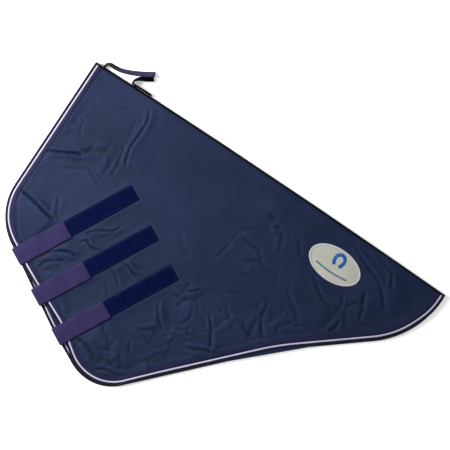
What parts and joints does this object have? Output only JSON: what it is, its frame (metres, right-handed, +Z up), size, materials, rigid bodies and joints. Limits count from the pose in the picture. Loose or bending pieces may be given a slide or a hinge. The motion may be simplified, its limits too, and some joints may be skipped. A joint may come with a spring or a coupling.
{
  "type": "rug neck cover",
  "caption": "Padded turnout rug neck cover folded flat along its crest, with piped binding, hook-and-loop closure straps, an oval badge and a headcollar loop.",
  "frame": {"origin": "middle of the underside of the folded cover, on the surface it lies on", "axes": "+X along the crest from the poll to the withers, +Y across the cover from the throat to the crest, +Z up out of the near half"},
  "size_m": [1.101, 0.7654, 0.0225],
  "materials": {
    "shell_fabric": "proofed woven polyester, navy, faint satin sheen",
    "wadding_fill": "soft white needled wadding",
    "lining_fabric": "smooth plain nylon lining, dark navy",
    "binding_tape": "flat woven tape, purple navy",
    "piping_cord": "white covered piping cord",
    "crest_tape": "flat woven tape, near black",
    "strap_webbing": "woven webbing, purple navy, matt",
    "loop_fabric": "brushed loop pile, deep navy",
    "hook_fabric": "moulded hook tape, near black",
    "label_fabric": "woven badge cloth, warm pale grey",
    "label_rim": "satin stitched badge edge, off-white",
    "label_motif": "embroidered motif, mid blue",
    "headcollar_webbing": "narrow woven webbing, dark purple navy"
  },
  "bodies": {
    "far_half": {"far_outer_shell": "shell_fabric", "far_wadding": "wadding_fill", "far_lining": "lining_fabric", "far_edge_binding": "binding_tape", "far_edge_piping": "piping_cord", "far_crest_tape": "crest_tape", "crest_fold_tape": "crest_tape", "strap_anchor_upper": "strap_webbing", "strap_anchor_middle": "strap_webbing", "strap_anchor_lower": "strap_webbing", "strap_bend_upper": "strap_webbing", "strap_bend_middle": "strap_webbing", "strap_bend_lower": "strap_webbing", "far_rug_tabs": "loop_fabric"},
    "near_half": {"near_outer_shell": "shell_fabric", "near_wadding": "wadding_fill", "near_lining": "lining_fabric", "near_edge_binding": "binding_tape", "near_edge_piping": "piping_cord", "near_crest_tape": "crest_tape", "loop_strip_upper": "loop_fabric", "loop_strip_middle": "loop_fabric", "loop_strip_lower": "loop_fabric", "label_patch": "label_fabric", "label_rim": "label_rim", "label_motif": "label_motif", "near_rug_tabs": "loop_fabric"},
    "crest_band": {"headcollar_front_base": "headcollar_webbing", "headcollar_rear_base": "headcollar_webbing"},
    "headcollar_front": {"headcollar_front_tab": "headcollar_webbing", "headcollar_hook_pad": "hook_fabric"},
    "headcollar_rear": {"headcollar_rear_tab": "headcollar_webbing", "headcollar_loop_pad": "loop_fabric"},
    "closure_upper": {"strap_flap_upper": "strap_webbing", "hook_patch_upper": "hook_fabric"},
    "closure_middle": {"strap_flap_middle": "strap_webbing", "hook_patch_middle": "hook_fabric"},
    "closure_lower": {"strap_flap_lower": "strap_webbing", "hook_patch_lower": "hook_fabric"}
  },
  "joints": [
    {"name": "crest_fold", "type": "hinge", "parent": "far_half", "child": "near_half", "pos_m": [-0.00003, 0.32255, 0.0055], "axis": [-1, 0, 0], "range_deg": [0, 180], "deforming": ["crest_fold_tape"]},
    {"name": "crest_band_turn", "type": "hinge", "parent": "far_half", "child": "crest_band", "pos_m": [-0.00003, 0.32255, 0.0055], "axis": [-1, 0, 0], "range_deg": [0, 90]},
    {"name": "headcollar_front_peel", "type": "hinge", "parent": "crest_band", "child": "headcollar_front", "pos_m": [-0.52053, 0.33255, 0.0115], "axis": [0, 0, 1], "range_deg": [0, 75]},
    {"name": "headcollar_rear_peel", "type": "hinge", "parent": "crest_band", "child": "headcollar_rear", "pos_m": [-0.43652, 0.33255, 0.0115], "axis": [0, 0, 1], "range_deg": [0, 30]},
    {"name": "closure_upper_peel", "type": "hinge", "parent": "far_half", "child": "closure_upper", "pos_m": [-0.43752, -0.21711, 0.00755], "axis": [0.887, -0.4617, 0], "range_deg": [0, 180], "deforming": ["strap_bend_upper"]},
    {"name": "closure_middle_peel", "type": "hinge", "parent": "far_half", "child": "closure_middle", "pos_m": [-0.33653, -0.27686, 0.00755], "axis": [0.887, -0.4617, 0], "range_deg": [0, 180], "deforming": ["strap_bend_middle"]},
    {"name": "closure_lower_peel", "type": "hinge", "parent": "far_half", "child": "closure_lower", "pos_m": [-0.23553, -0.33395, 0.00755], "axis": [0.887, -0.4617, 0], "range_deg": [0, 180], "deforming": ["strap_bend_lower"]}
  ],
  "couplings": [
    {"joint": "crest_band_turn", "follows": "crest_fold", "ratio": 0.5},
    {"joint": "headcollar_rear_peel", "follows": "headcollar_front_peel", "ratio": 0.4}
  ]
}
